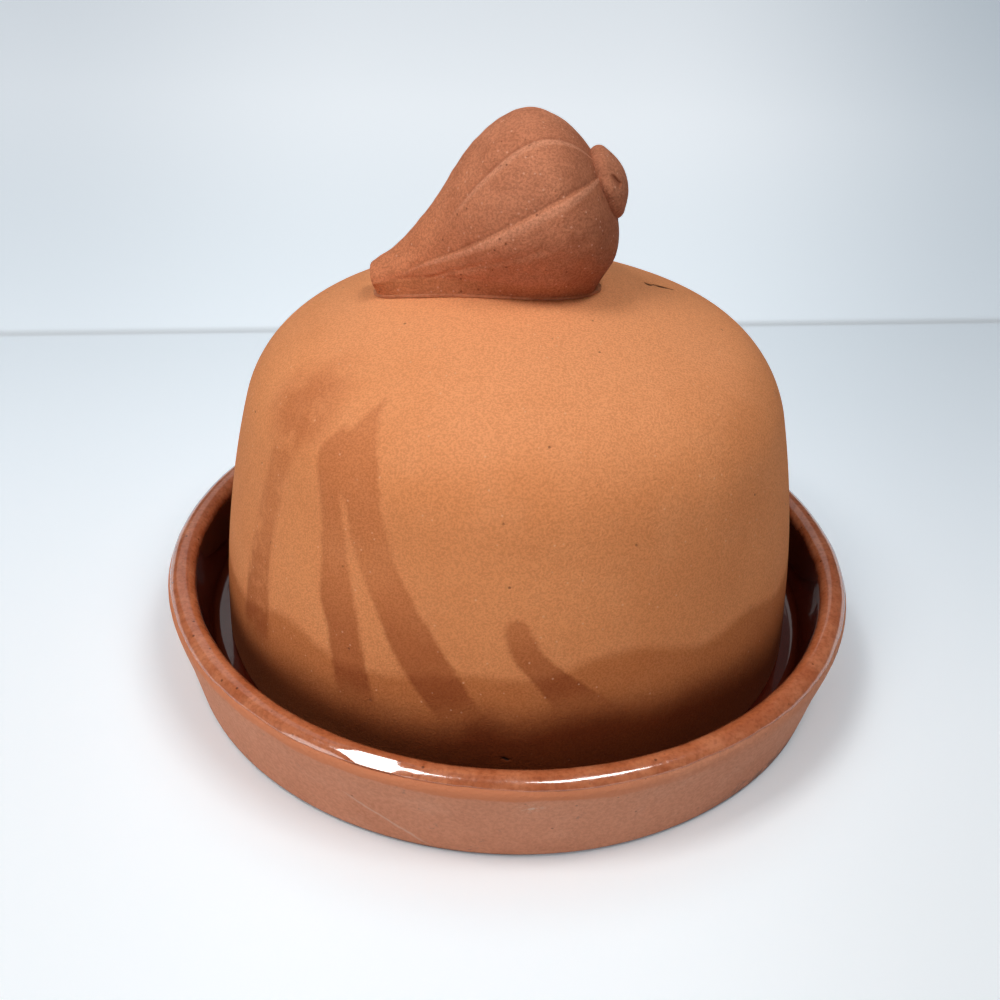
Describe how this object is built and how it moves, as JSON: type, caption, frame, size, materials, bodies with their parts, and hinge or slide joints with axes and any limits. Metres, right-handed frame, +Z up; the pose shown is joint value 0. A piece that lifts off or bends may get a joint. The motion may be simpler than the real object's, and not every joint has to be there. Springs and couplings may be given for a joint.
{
  "type": "garlic roaster",
  "caption": "Terracotta garlic roaster: a shallow saucer glazed inside, and a loose dome lid with a knob shaped like a garlic bulb lying on its side.",
  "frame": {"origin": "middle of the saucer's flat underside, on the surface it stands on", "axes": "+Z up along the dome's axis; the knob's stem points to -X and its root to +X"},
  "size_m": [0.15, 0.15, 0.1176],
  "materials": {
    "saucer_clay": "bare matte terracotta",
    "glaze": "clear gloss glaze over terracotta",
    "dome_clay": "bare matte terracotta, sandy",
    "knob_clay": "bare matte red terracotta",
    "slip_clay": "bare dried slip, fired"
  },
  "bodies": {
    "base": {"saucer_base": "saucer_clay", "saucer_glaze": "glaze"},
    "lid": {"dome_lid": "dome_clay", "garlic_knob": "knob_clay", "root_button": "knob_clay", "knob_slip": "slip_clay"}
  },
  "joints": [
    {"name": "lid_lift", "type": "slide", "parent": "base", "child": "lid", "axis": [0, 0, 1], "range_m": [0, 0.1]}
  ]
}
